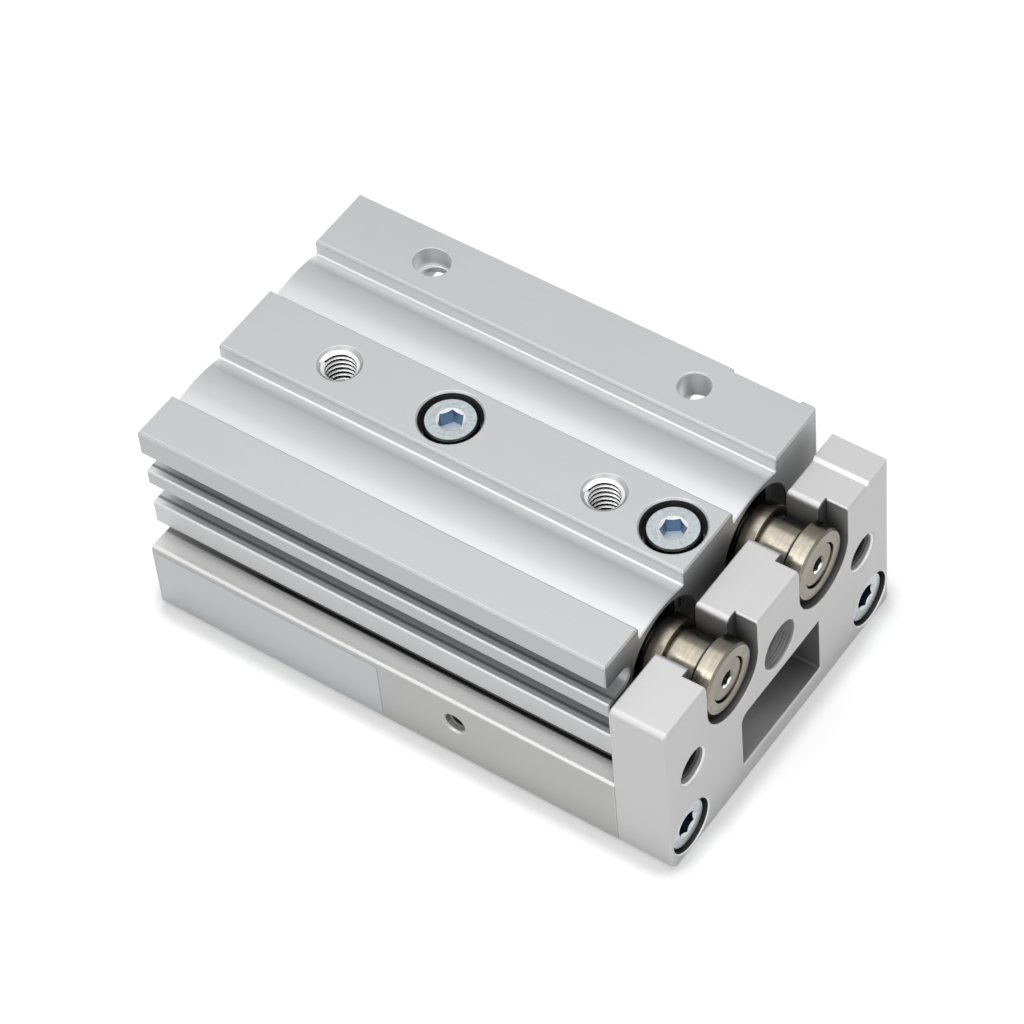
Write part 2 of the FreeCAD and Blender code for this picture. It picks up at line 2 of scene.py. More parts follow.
# # Dressing a slide table cylinder
# The imported model already holds every solid of this air slide: a grooved aluminium body with two
# bores, a table plate that slides under it on rollers, and an end plate joined to both piston rods.
# This lesson loads that model and gives it its looks: a camera, studio light, satin aluminium,
# plated screws, and the small things a solid modeller leaves out, such as threads and knurls.

# %% Load the imported model
import json
import math
import bmesh
import bpy
from mathutils import Matrix, Vector


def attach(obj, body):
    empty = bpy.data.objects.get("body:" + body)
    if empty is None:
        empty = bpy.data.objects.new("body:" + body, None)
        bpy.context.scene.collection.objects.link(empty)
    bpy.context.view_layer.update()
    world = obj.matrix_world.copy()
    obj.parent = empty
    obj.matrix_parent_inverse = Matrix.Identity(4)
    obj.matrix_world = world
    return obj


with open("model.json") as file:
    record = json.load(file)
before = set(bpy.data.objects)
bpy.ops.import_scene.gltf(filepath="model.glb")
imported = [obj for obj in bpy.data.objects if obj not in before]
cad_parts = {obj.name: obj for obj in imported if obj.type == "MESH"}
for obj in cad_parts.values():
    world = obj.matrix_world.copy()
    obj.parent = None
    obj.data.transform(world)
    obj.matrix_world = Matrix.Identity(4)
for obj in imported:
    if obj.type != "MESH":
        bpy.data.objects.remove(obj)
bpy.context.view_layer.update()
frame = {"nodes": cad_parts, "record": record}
mm = 0.001

# %% [markdown]
# ## The camera
# The part is seen from above through a long lens, with the camera tipped a little to one side. We
# could aim a camera with a constraint, but a matrix made of three directions (right, up and back)
# is exact, and lets the tip be one number.

# %% Camera
aim = Vector((-1.19, 1.69, 15.0)) * mm
distance = 551.2 * mm
height_angle = math.radians(50.69)
side_angle = math.radians(-50.58)
tip = math.radians(-6.14)

level = math.cos(height_angle)
back = Vector((level * math.cos(side_angle), level * math.sin(side_angle), math.sin(height_angle)))
flat_right = Vector((0, 0, 1)).cross(back).normalized()
right = flat_right * math.cos(tip) + back.cross(flat_right) * math.sin(tip)
up = back.cross(right)
stand = Matrix.Translation(aim + back * distance)
lens = bpy.data.cameras.new("photo_camera")
lens.sensor_width = 36
lens.lens = 153.63
lens.clip_start = 10 * mm
camera = bpy.data.objects.new("photo_camera", lens)
camera.matrix_world = stand @ Matrix((right, up, back)).transposed().to_4x4()
bpy.context.scene.collection.objects.link(camera)
bpy.context.scene.camera = camera
bpy.context.scene.view_settings.view_transform = "Standard"
print("camera at", [round(v / mm) for v in camera.matrix_world.translation], "mm, lens", lens.lens)

# %% [markdown]
# ## A small language for finishes
# Every surface gets a node material, and node trees are tedious to write link by link. The class
# `Value` wraps one socket, so that Python's own + - * and ** add Math nodes. The class `Finish` is
# one node tree: its `node` method adds any other node, settings first, then the sockets.

# %% Values that add their own Math nodes
class Value:
    """A number that varies over a surface: one output socket of a finish."""

    def __init__(self, finish, socket):
        self.finish = finish
        self.socket = socket

    def maths(self, operation, first, second=0.0):
        return self.finish.node("ShaderNodeMath", {"operation": operation}, {0: first, 1: second})

    def __add__(self, other):
        return self.maths("ADD", self, other)

    def __sub__(self, other):
        return self.maths("SUBTRACT", self, other)

    def __rsub__(self, other):
        return self.maths("SUBTRACT", other, self)

    def __mul__(self, other):
        return self.maths("MULTIPLY", self, other)

    def __pow__(self, other):
        return self.maths("POWER", self, other)

    def __abs__(self):
        return self.maths("ABSOLUTE", self)

    def most(self, other):
        return self.maths("MAXIMUM", self, other)

    __radd__ = __add__
    __rmul__ = __mul__


print("values ready")

# %% Finishes
class Finish:
    """One node tree, of a material or of the world, read on Object coordinates in millimetres."""

    def __init__(self, name, library="materials"):
        self.data = getattr(bpy.data, library).new(name)
        self.data.use_nodes = True
        self.tree = self.data.node_tree
        self.tree.nodes.clear()
        self.place = self.node("ShaderNodeTexCoord", out="Object")

    def node(self, kind, settings={}, sockets={}, out=0):
        made = self.tree.nodes.new(kind)
        for key, value in settings.items():
            setattr(made, key, value)
        for key, value in sockets.items():
            if isinstance(value, Value):
                self.tree.links.new(value.socket, made.inputs[key])
            else:
                made.inputs[key].default_value = value
        return Value(self, made.outputs[out]) if made.outputs else None

    def axis(self, letter):
        """The place along an axis of the part, in millimetres."""
        return self.node("ShaderNodeSeparateXYZ", sockets={0: self.place}, out=letter) * (1 / mm)

    def facing(self, letter):
        """How far the surface faces along an axis of the part, from -1 to 1."""
        normal = self.node("ShaderNodeTexCoord", out="Normal")
        return self.node("ShaderNodeSeparateXYZ", sockets={0: normal}, out=letter)

    def grain(self, x, y, z, detail=2.0, rough=0.5):
        """Noise from 0 to 1 whose features are about x, y and z millimetres long."""
        scale = tuple(1 / (mm * size) for size in (x, y, z))
        where = self.node("ShaderNodeMapping", sockets={"Vector": self.place, "Scale": scale})
        sockets = {"Vector": where, "Scale": 1.0, "Detail": detail, "Roughness": rough}
        return self.node("ShaderNodeTexNoise", sockets=sockets)

    def rings(self, length, pitch):
        """Noise that depends on one length only, such as a distance from a turning axis."""
        sockets = {"W": length * (1 / pitch), "Scale": 1.0, "Detail": 2.0}
        return self.node("ShaderNodeTexNoise", {"noise_dimensions": "1D"}, sockets)

    def between(self, value, low, high, to_low, to_high):
        """Map a value's range low to high onto another range, held at its ends."""
        sockets = {0: value, 1: low, 2: high, 3: to_low, 4: to_high}
        return self.node("ShaderNodeMapRange", sockets=sockets)

    def mix(self, mask, first, second):
        ends = [end if isinstance(end, Value) else (*end, 1) for end in (first, second)]
        sockets = {0: mask, 6: ends[0], 7: ends[1]}
        return self.node("ShaderNodeMix", {"data_type": "RGBA"}, sockets, out=2)

    def shade(self, mask, colour, change):
        """A colour, darker or lighter by a share of itself as the mask goes from 0 to 1."""
        low = [c * (1 - change) for c in colour]
        high = [c * (1 + change) for c in colour]
        return self.mix(mask, low, high)

    def soft_edges(self, radius):
        """Normals rounded over every edge, as if corners were broken by that many millimetres."""
        return self.node("ShaderNodeBevel", {"samples": 6}, {"Radius": radius * mm})

    def highlight_edges(self, soft):
        """1 on edges, where the rounded normal leaves the face's own, 0 on flat faces."""
        face = self.node("ShaderNodeNewGeometry", out="Normal")
        operation = {"operation": "DOT_PRODUCT"}
        agree = self.node("ShaderNodeVectorMath", operation, {0: soft, 1: face}, out="Value")
        return self.between(1 - agree, 0.0, 0.12, 0, 1)

    def open_air(self, reach):
        """1 on open faces, falling to 0 deep in the piece's own grooves and holes."""
        settings = {"samples": 8, "only_local": True}
        sockets = {"Distance": reach * mm}
        return self.node("ShaderNodeAmbientOcclusion", settings, sockets, out="AO")

    def bump(self, value, depth, strength=1.0, normal=None):
        sockets = {"Height": value, "Distance": depth * mm, "Strength": strength}
        if normal:
            sockets["Normal"] = normal
        return self.node("ShaderNodeBump", sockets=sockets)

    def surface(self, **sockets):
        """Close the tree with a Principled shader; names use _ for spaces."""
        named = {key.replace("_", " "): value for key, value in sockets.items()}
        shader = self.node("ShaderNodeBsdfPrincipled", sockets=named)
        self.node("ShaderNodeOutputMaterial", sockets={"Surface": shader})
        return self


print("finish tools ready")

# %% [markdown]
# ## White table and soft light
# The part stands on a white table that fades into a white background, with a soft shadow under its
# edges. More light would wash the metal out, so the white comes from Light Path instead: camera and
# mirror rays see a plain white world, while other rays see the real studio level. The floor does
# the same with a share of glow, so that only its shadow stays darker than white.

# %% World
def seen_directly(finish):
    """1 for rays from the camera, a mirror or glass, 0 for the rest."""
    names = ("Is Camera Ray", "Is Glossy Ray", "Is Transmission Ray")
    eye, mirror, glass = [finish.node("ShaderNodeLightPath", out=name) for name in names]
    return eye.most(mirror).most(glass)


white = (1, 1, 1, 1)
studio_level = 0.3
sky = Finish("white_studio", "worlds")
brightness = sky.between(seen_directly(sky), 0, 1, studio_level, 1.0)
air = sky.node("ShaderNodeBackground", sockets={"Color": white, "Strength": brightness})
sky.node("ShaderNodeOutputWorld", sockets={"Surface": air})
bpy.context.scene.world = sky.data
print("studio level", studio_level)

# %% Floor
glow = 0.5
shadow_reach = 3.4 * mm
floor_size = 3.0
paper = Finish("white_table")
contact = paper.node("ShaderNodeAmbientOcclusion", {"samples": 16},
                     {"Distance": shadow_reach}, out="AO")
shadow = paper.between(contact, 0.7, 0.985, 0.67, 1.0)
sheet_colour = paper.mix(shadow, (0, 0, 0), (0.8, 0.8, 0.8))
lit = paper.node("ShaderNodeBsdfDiffuse", sockets={"Color": sheet_colour})
brightness = seen_directly(paper) * shadow * glow
shine = paper.node("ShaderNodeEmission", sockets={"Color": white, "Strength": brightness})
both = paper.node("ShaderNodeAddShader", sockets={0: lit, 1: shine})
paper.node("ShaderNodeOutputMaterial", sockets={"Surface": both})

floor_mesh = bmesh.new()
bmesh.ops.create_grid(floor_mesh, x_segments=2, y_segments=2, size=floor_size)
floor_data = bpy.data.meshes.new("white_table")
floor_mesh.to_mesh(floor_data)
floor_mesh.free()
floor = bpy.data.objects.new("white_table", floor_data)
floor.data.materials.append(paper.data)
bpy.context.scene.collection.objects.link(floor)
print("floor at z =", floor.location.z)

# %% Lamps
def softbox(name, place, size, power):
    """A square lamp at a place in millimetres, turned to face the part."""
    lamp = bpy.data.lights.new(name, "AREA")
    lamp.size = size * mm
    lamp.energy = power
    holder = bpy.data.objects.new(name, lamp)
    holder.location = Vector(place) * mm
    towards = aim - holder.location
    holder.rotation_euler = towards.to_track_quat("-Z", "Y").to_euler()
    bpy.context.scene.collection.objects.link(holder)
    print(name, "at", place, "watts", power)


softbox("softbox_over", (-40, 0, 620), 600, 1.75)
softbox("softbox_near", (-60, -480, 420), 400, 0.7)
softbox("softbox_front", (480, -220, 420), 300, 0.45)

# %% [markdown]
# ## Where things are
# Finishes, threads and knurls all need to know where the part's holes and screws are. These places
# are in millimetres in the part's own frame: X along the stroke, Y across, and Z up to the body's
# mounting face. Distances from the holes' axes, read on Object coordinates, let a finish pick out
# one hole's wall or rim without any painted picture.

# %% Places on the part
body_top = 31
half_width = 25
plate_front = 40
rod_side, rod_z = 10.25, 21.7
plate_screw_side, plate_screw_z = 20.6, 4.2
plate_tap_side, plate_tap_z = 19.2, 14.9
centre_hole_z = 17.6
rail_screw_x = (-8, 25)
body_hole_x = (-25, 15)
flange_hole_y = 20
print("rods at y", (-rod_side, rod_side), "z", rod_z, "and rail screws at x", rail_screw_x)

# %% Distances from turning axes
def from_axes_along_x(finish, side, z):
    """Distance from the nearer of two axes along X, at y = -side and y = side."""
    across = abs(finish.axis("Y")) - side
    upward = finish.axis("Z") - z
    return (across * across + upward * upward) ** 0.5


def from_upright_axes(finish, places, y):
    """Distance from the nearer of two upright axes, at two places along X."""
    middle, half_pitch = (places[0] + places[1]) / 2, (places[1] - places[0]) / 2
    along = abs(finish.axis("X") - middle) - half_pitch
    across = finish.axis("Y") - y
    return (along * along + across * across) ** 0.5


def from_rod_axis(finish):
    return from_axes_along_x(finish, rod_side, rod_z)


def from_plate_screw(finish):
    return from_axes_along_x(finish, plate_screw_side, plate_screw_z)


def from_plate_tap(finish):
    return from_axes_along_x(finish, plate_tap_side, plate_tap_z)


def from_rail_screw(finish):
    return from_upright_axes(finish, rail_screw_x, 0)


def from_flange_hole(finish):
    return from_upright_axes(finish, body_hole_x, flange_hole_y)


print("distances ready")

# %% [markdown]
# ## Satin anodised aluminium
# The body, the table and the end plate are clear anodised: a matt skin over metal, pale and nearly
# neutral, with a fine tooth from blasting and faint lines left by the extrusion die or the cutter.
# Metal alone would mirror the white room evenly, so a share of it stays diffuse, which lets the
# softboxes model the form. Edges are broken by hand on such parts, and catch the light: the Bevel
# node rounds their normals, which costs no geometry. The colour is painted as well: lighter on
# edges and on places each piece picks out, as painted highlights, and darker in the piece's own
# grooves and holes and on other picked places, as painted shade.

# %% Anodised skin
def anodised(name, colour, lines, dark, reach, shut, pale, places):
    """lines are the lengths of the tool marks along x, y and z, in millimetres. Recesses are
    painted
    in shade: they take the share dark of the colour, where less of the open air within reach is
    left than shut says. Edges get a painted highlight of pale times the colour. places corrects
    both masks for one piece, with its own painted shade and highlights."""
    skin = Finish(name)
    tooth = skin.grain(0.22, 0.22, 0.22, detail=3.0, rough=0.7)
    marks = skin.grain(*lines)
    cloud = skin.grain(18, 18, 18)
    tone = skin.between(tooth * 0.5 + marks * 0.3 + cloud * 0.35, 0.3, 0.85, 0, 1)
    relief = tooth * 0.6 + marks * 0.4
    soft = skin.soft_edges(0.14)
    open_face = skin.between(skin.open_air(reach), *shut, 0.0, 1.0)
    # the first mask is 1 where no painted shade falls, the second is 1 where a highlight is painted
    unshaded, painted_light = places(skin, open_face, skin.highlight_edges(soft))
    bright = [min(1, c * pale) for c in colour]
    face = skin.mix(painted_light, skin.shade(tone, colour, 0.035), bright)
    recess = [c * dark for c in colour]
    return skin.surface(Base_Color=skin.mix(unshaded, recess, face), Metallic=0.6,
                        Roughness=skin.between(tone, 0, 1, 0.36, 0.46),
                        Normal=skin.bump(relief, 0.012, 0.35, soft))


print("anodised skin ready")

# %% [markdown]
# ### The body
# A die drew the body, so its marks run along X and depend on the place across it. The masks below
# pick out where the body's colour is painted lighter, as highlights, and darker, as shade. Each is
# a product of ranges, which is easier to adjust than a painted map.

# %% Body
def body_places(skin, unshaded, painted_light):
    """The flange's drilled holes are kept free of the painted recess shade. Painted shade darkens
    the screws' wells, the front end, the bores, a line in each switch groove and two lines on the
    upright walls beside the lands. Painted highlights lighten those walls, the roots and flanks of
    the bulges, the ribs' lips and the lowest rib."""
    along, across, up = skin.axis("X"), skin.axis("Y"), skin.axis("Z")
    upright = skin.between(abs(skin.facing("Y")), 0.75, 0.9, 0, 1)
    level = skin.between(abs(skin.facing("Z")), 0.3, 0.5, 0, 1)

    flange = skin.between(from_flange_hole(skin), 3, 3.1, 1, 0) * skin.between(up, 22, 22.2, 0, 1)
    holes = flange * (1 - level).most(skin.between(abs(up - 27), 3, 3.2, 1, 0))
    well = skin.between(from_rail_screw(skin), 4.3, 4.35, 1, 0) * (1 - level)

    channel = skin.between(up, 27.5, 28, 0, 1)
    walls = upright * skin.between(abs(across), 15.3, 15.5, 1, 0) * channel * 0.25
    lines = walls * skin.between(abs(up - 29.75), 0.75, 0.85, 0, 0.45)
    bulge = level * skin.between(up, 30.2, 30.4, 1, 0) * channel
    near_root = skin.between(across, -7.4, -6.0, 0, 0.88) * skin.between(across, -5, -4.9, 1, 0)
    far_root = skin.between(across, 13.1, 14.3, 0, 0.95) * skin.between(across, 14.5, 15.2, 1, 0.65)
    near_flank = skin.between(across, -13.8, -11.8, 0.26, 0)
    far_flank = skin.between(across, 6.7, 9.9, 0.24, 0) * skin.between(across, 5.6, 6.6, 0, 1)
    # painted highlights on the roots and flanks of the bulges
    bulge_highlights = bulge * (near_root + far_root + near_flank + far_flank)

    ribs = skin.between(up, 26.5, 26.7, 1, 0)
    lips = level * ribs * skin.between(across, -21.3, -20.9, 0.55, 0)
    groove_line = level * ribs * skin.between(abs(across + 20.87), 0.08, 0.32, 0.65, 0)
    low_rib = skin.between(across, -21.5, -21.4, 1, 0) * skin.between(up, 17.4, 17.6, 0.3, 0)

    end = skin.between(along, 29.7, 29.8, 0, 1) * skin.between(up, 24, 31, 0.55, 0.1)
    beside = skin.between(abs(skin.facing("X")), 0.5, 0.8, 1, 0)
    bore = skin.between(from_rod_axis(skin), 6.7, 6.8, 1, 0) * beside
    # painted shade in the wells, the switch grooves, on the walls' lines, the front end and the
    # bores
    shaded = (1 - well * 0.8) * (1 - groove_line) * (1 - lines) * (1 - end.most(bore))
    painted_light = (painted_light * (1 - bulge * 0.8)).most(walls).most(bulge_highlights)
    return unshaded.most(flange) * shaded, painted_light.most(lips).most(upright * low_rib).most(holes)


body_skin = anodised("body_anodised", (0.50, 0.505, 0.51), lines=(60, 0.35, 0.35), dark=0.08,
                     reach=6, shut=(0.03, 0.3), pale=1.7, places=body_places)
print("finish", body_skin.data.name)

# %% [markdown]
# ### The table
# The table shows its side, its ends and a narrow strip of its upper face, right beside the body. No
# lamp reaches under the body's lowest rib, so a painted shadow line there sets the two pieces
# apart, and the rest of the strip is painted bright.

# %% Table
def table_places(skin, unshaded, painted_light):
    """The strip beside the body is painted bright, as a highlight, but for a painted shadow line
    right under the body's lowest rib, which is fainter at the rear, where light comes in."""
    across = abs(skin.axis("Y"))
    level = skin.between(skin.facing("Z"), 0.5, 0.7, 0, 1)
    strip = level * skin.between(across, 21.9, 22.0, 0, 0.6)
    line = skin.between(across, 21.2, 21.4, 0, 1) * skin.between(across, 21.8, 22.1, 1, 0)
    line = level * line * skin.between(skin.axis("X"), -36, -22, 0.25, 1)
    return unshaded * (1 - line), painted_light.most(strip)


table_skin = anodised("table_anodised", (0.46, 0.46, 0.455), lines=(40, 0.4, 0.25), dark=0.04,
                      reach=6, shut=(0.03, 0.3), pale=1.8, places=table_places)
print("finish", table_skin.data.name)

# %% [markdown]
# ### The end plate
# The end plate is milled: two slots for the rods' joints, a window for the guide, wells for its
# screws, two taps and a centre hole. What is cut deep is painted in shade, and rims are painted
# bright, as highlights.

# %% End plate
def plate_places(skin, unshaded, painted_light):
    """The walls of the joint slots, the window and the screws' wells are painted in shade, more so
    further in. The centre hole is kept free of the painted recess shade, but painted in streaks of
    highlight and shade at its bottom, the window's floor is painted lighter on the near side, and
    the taps' mouths are kept free of painted shade. Rims and the step on top get painted
    highlights."""
    along, aside, up = skin.axis("X"), skin.axis("Y"), skin.axis("Z")
    across = abs(aside)
    wall = skin.between(abs(skin.facing("X")), 0.3, 0.7, 1, 0)

    slot = skin.between(abs(across - rod_side), 5.75, 5.85, 1, 0)
    slot = slot * skin.between(up, 15.5, 15.8, 0, 1)
    lip = skin.between(skin.facing("Z"), 0.35, 0.6, 0, 1) * skin.between(up, 23, 24, 0, 1)
    slot_shade = skin.between(up, 19, 26, 0.95, 0.2) * skin.between(along, 37, 40, 1, 0.7)
    slot_shade = slot * (1 - lip) * slot_shade
    corner = slot * skin.between(abs(along - 36.7), 0.1, 0.2, 0.9, 0)
    window = skin.between(up, 13.0, 13.2, 1, 0) * skin.between(up, 2.8, 3.0, 0, 1)
    window = window * skin.between(across, 8.9, 9.0, 1, 0)
    window_shade = window * skin.between(aside, -1, 7, 0, 0.5)
    well = from_plate_screw(skin)
    # painted shade on the walls of the slots, the window and the screws' wells
    wall_shade = wall * (slot_shade + window_shade + skin.between(well, 3.85, 3.9, 1, 0))
    wall_shade = wall_shade.most(corner)
    window_floor_light = skin.between(aside, -3, 4, 0.6, 0) * skin.between(along, 37.5, 39, 1, 0)

    hole = skin.between(across * across + (up - centre_hole_z) ** 2, 12.2, 12.5, 0.8, 0)
    streaks = skin.between(skin.rings(along, 0.35), 0.42, 0.58, 0.55, 1)
    streaks = streaks.most(skin.between(up, 15.3, 16.2, 0, 0.85))
    hole_wall = wall * hole
    tap = from_plate_tap(skin)
    band = wall * skin.between(tap, 2.6, 2.65, 1, 0) * skin.between(along, 38.7, 38.8, 0, 1)
    mouth = band.most(skin.between(tap, 3.1, 3.2, 1, 0) * (1 - wall))
    rims = skin.between(tap, 2.65, 2.75, 1, 0).most(skin.between(well, 3.95, 4.05, 0.8, 0))
    rims = band.most((1 - wall) * rims)
    step = skin.between(abs(aside - 20.5), 0.2, 0.3, 0.5, 0) * skin.between(up, 26.9, 27.0, 0, 1)

    unshaded = unshaded.most(hole).most(mouth) * (1 - wall_shade) * (1 - hole_wall * (1 - streaks))
    painted_light = painted_light.most(step).most(rims).most(hole_wall * streaks)
    return unshaded, painted_light.most(window * wall * window_floor_light)


plate_skin = anodised("plate_anodised", (0.56, 0.56, 0.56), lines=(0.3, 8, 8), dark=0.08,
                      reach=14, shut=(0.15, 0.62), pale=1.6, places=plate_places)
print("finish", plate_skin.data.name)

# %% [markdown]
# ## Turned and plated metal
# Screws are bright zinc with a cold blue cast, the joint bushings are nickel with a warm one, the
# rods are ground chrome and the guide is ground steel. What they share is fine rings left by
# turning or grinding, so each finish gets its distance from its own turning axis, and noise read on
# that distance alone gives rings of the right kind.

# %% Turned finishes
def turned(name, colour, radius, roughness, ring, change):
    metal = Finish(name)
    lines = metal.rings(radius(metal) + metal.axis("X") * 0.7, ring)
    dull = metal.grain(2.5, 2.5, 2.5, detail=4.0)
    tone = metal.between(lines * 0.5 + dull * 0.7, 0.3, 0.9, 0, 1)
    return metal.surface(Base_Color=metal.shade(tone, colour, change), Metallic=1.0,
                         Roughness=metal.between(tone, 0, 1, roughness - 0.06, roughness + 0.1),
                         Normal=metal.bump(lines, 0.002, 0.4, metal.soft_edges(0.08)))


chrome = turned("ground_chrome", (0.62, 0.62, 0.62), from_rod_axis, 0.12, ring=0.08, change=0.03)
cap_metal = turned("turned_caps", (0.5, 0.5, 0.5), from_rod_axis, 0.3, ring=0.12, change=0.06)
print("turned finishes made")

# %% Zinc screws
zinc_dull, zinc_bright = (0.28, 0.31, 0.325), (0.47, 0.51, 0.53)
zinc_pale, head_rim_shade = (0.95, 0.97, 0.97), (0.035, 0.037, 0.042)


def zinc(name, radius, letter, floor, walls, shine, cone_shine, edge):
    """letter is the screw's axis, floor the height of its socket's floor along it, and walls the
    colour painted on the socket's walls for the shade and reflections inside it. shine is how
    much brighter the head is painted for the light it gets. The socket's floor and the cone at
    its mouth are painted pale, as highlights, the cone as bright as cone_shine says. Past the
    radius edge the head is painted black, for the shade in the gap around it."""
    metal = Finish(name)
    away = radius(metal)
    rolled = metal.rings(away, 0.15)
    scuffs = metal.grain(0.4, 0.4, 0.4, detail=4.0, rough=0.65)
    tone = metal.between(scuffs * 0.8 + rolled * 0.3, 0.4, 0.7, 0, 1)
    along = abs(metal.facing(letter))
    ends = [[c * shine for c in colour] for colour in (zinc_dull, zinc_bright)]
    face = metal.mix(metal.between(along, 0.15, 0.5, 1, 0), metal.mix(tone, *ends), walls)
    # past the edge the head is painted black, as shade
    face = metal.mix(metal.between(away, edge, edge + 0.06, 0, 1), face, head_rim_shade)
    low = metal.between(metal.axis(letter), floor + 0.1, floor + 0.3, 1, 0)
    cone = metal.between(along, 0.5, 0.6, 0, cone_shine) * metal.between(along, 0.85, 0.92, 1, 0)
    cone = cone * metal.between(away, 2.4, 2.5, 1, 0)
    pale = (metal.between(along, 0.9, 0.95, 0, 1) * low).most(cone)
    return metal.surface(Base_Color=metal.mix(pale, face, zinc_pale), Metallic=1 - pale * 0.9,
                         Roughness=metal.between(tone, 0, 1, 0.38, 0.24),
                         Normal=metal.bump(scuffs, 0.02, 0.35, metal.soft_edges(0.06)))


# One zinc, painted for the light and shade that each kind of screw gets.
rail_zinc = zinc("zinc_rail_screws", from_rail_screw, "Z", floor=28.12, walls=(0.18, 0.29, 0.44),
                 shine=1.08, cone_shine=1, edge=3.25)
plate_zinc = zinc("zinc_plate_screws", from_plate_screw, "X", floor=0, walls=(0.08, 0.12, 0.18),
                  shine=1.55, cone_shine=0.3, edge=3.5)
small_zinc = zinc("zinc_small_screws", from_rod_axis, "X", floor=-99, walls=(0.10, 0.15, 0.22),
                  shine=1, cone_shine=0.3, edge=99)
print("zinc finishes made")

# %% Nickel bushings
def nickel(name, colour):
    """Satin nickel whose colour is painted by the way the surface faces: bright in a band that
    faces up and to the near side, as a painted highlight, and brown elsewhere, as painted shade.
    Both corners of the neck and the narrow gaps are painted dark, as shade, and the key's socket
    gets a painted glint."""
    metal = Finish(name)
    along, away = metal.axis("X"), from_rod_axis(metal)
    rings = metal.rings(away + along * 0.7, 0.35)
    stain = metal.grain(1.2, 1.2, 1.2, detail=4.0, rough=0.6)
    tone = metal.between(rings * 0.4 + stain * 0.8, 0.35, 0.85, 0, 1)

    # painted light and shade by the way the surface faces
    towards = metal.facing("Z") * 0.5 - metal.facing("Y") * 0.86
    low, high = [c * 0.26 for c in colour], [min(1, c * 2.1) for c in colour]
    round_side = metal.mix(metal.between(towards, 0.1, 0.85, 0, 1), low, colour)
    round_side = metal.mix(metal.between(towards, 0.82, 0.99, 0, 1), round_side, high)
    end = metal.between(metal.facing("X"), 0.6, 0.9, 0, 1)
    plain = metal.mix(end, round_side, [c * 0.82 for c in colour])
    painted_light = metal.mix(tone, metal.mix(0.25, plain, (0, 0, 0)), plain)

    front = metal.between(along, 35.95, 36.15, 0, 0.95) * metal.between(along, 36.78, 36.8, 1, 0)
    rear = metal.between(along, 31.9, 32.4, 0.9, 0) * metal.between(along, 31.88, 31.9, 0, 1)
    corners = front.most(rear) * metal.between(away, 3.8, 3.9, 1, 0)
    gap = metal.between(metal.open_air(1.5), 0.2, 0.7, 1, 0).most(corners)
    shaded_colour = metal.mix(gap, painted_light, (0.02, 0.018, 0.015))
    # a painted glint in the key's socket
    socket = metal.between(away, 1.6, 1.7, 1, 0) * metal.between(metal.facing("Z"), 0.3, 0.5, 0, 1)
    return metal.surface(Base_Color=metal.mix(socket, shaded_colour, (0.95, 0.95, 0.95)), Metallic=1.0,
                         Roughness=metal.between(tone, 0, 1, 0.3, 0.2),
                         Normal=metal.bump(rings, 0.003, 0.2, metal.soft_edges(0.1)))


bushing_metal = nickel("satin_nickel", (0.345, 0.315, 0.26))
joint_metal = nickel("joint_screw_nickel", (0.315, 0.29, 0.24))
print("nickel finishes made")

# %% Ground steel and spring steel
def ground(name, colour, lines, roughness):
    steel = Finish(name)
    marks = steel.grain(*lines)
    stain = steel.grain(6, 6, 6, detail=4.0)
    tone = steel.between(marks * 0.6 + stain * 0.5, 0.3, 0.8, 0, 1)
    return steel.surface(Base_Color=steel.shade(tone, colour, 0.08), Metallic=1.0,
                         Roughness=steel.between(tone, 0, 1, roughness - 0.05, roughness + 0.08),
                         Normal=steel.bump(marks, 0.004, 0.5, steel.soft_edges(0.1)))


guide_metal = ground("ground_guide_steel", (0.40, 0.41, 0.42), (20, 0.15, 0.15), 0.25)
spring_metal = ground("oiled_spring_steel", (0.05, 0.05, 0.055), (1.5, 1.5, 1.5), 0.4)
black_metal = ground("black_covers", (0.03, 0.03, 0.032), (0.6, 0.6, 0.6), 0.45)
print("ground finishes made")

# %% [markdown]
# ## Hidden soft pieces
# Seals, bumpers, magnets and roller cages sit inside, and show only when the slide is open or taken
# apart. They are simple mouldings, so a colour with a little mottling and a matt surface is enough.

# %% Moulded finishes
def moulded(name, colour, roughness):
    stuff = Finish(name)
    mottle = stuff.grain(0.6, 0.6, 0.6, detail=3.0)
    low, high = roughness - 0.05, roughness + 0.05
    return stuff.surface(Base_Color=stuff.shade(mottle, colour, 0.12),
                         Roughness=stuff.between(mottle, 0.3, 0.7, low, high),
                         Normal=stuff.bump(mottle, 0.01, 0.4))


rubber = moulded("nitrile_rubber", (0.025, 0.025, 0.026), 0.55)
urethane = moulded("amber_urethane", (0.50, 0.28, 0.07), 0.45)
cage_resin = moulded("pale_resin", (0.62, 0.60, 0.54), 0.45)
magnet_coat = moulded("coated_magnet", (0.06, 0.06, 0.065), 0.4)
print("moulded finishes made")

# %% [markdown]
# ## Dressing the model's own pieces
# The model says for each of its pieces which slot of material it has, so one table from slots to
# finishes dresses them all. Three pieces share a slot with others but have finishes of their own:
# the two kinds of screws are zinc painted for the light and shade each kind gets, and the rod
# covers are black.

# %% Finishes on the model's own pieces
slots = {"body_anodised": body_skin, "table_anodised": table_skin, "plate_anodised": plate_skin,
         "cap_aluminium": cap_metal, "guide_steel": guide_metal, "screw_zinc": small_zinc,
         "joint_steel": joint_metal, "spring_steel": spring_metal, "bushing_nickel": bushing_metal,
         "rod_chrome": chrome, "magnet_dark": magnet_coat, "cage_plastic": cage_resin,
         "seal_rubber": rubber, "bumper_urethane": urethane}
own = {"rail_screws": rail_zinc, "end_plate_screws": plate_zinc, "rod_covers": black_metal}
for part in frame["record"]["subparts"]:
    node = frame["nodes"][part["node"]]
    finish = own.get(part["node"], slots[part["material_slot"]])
    node.material_slots[0].material = finish.data

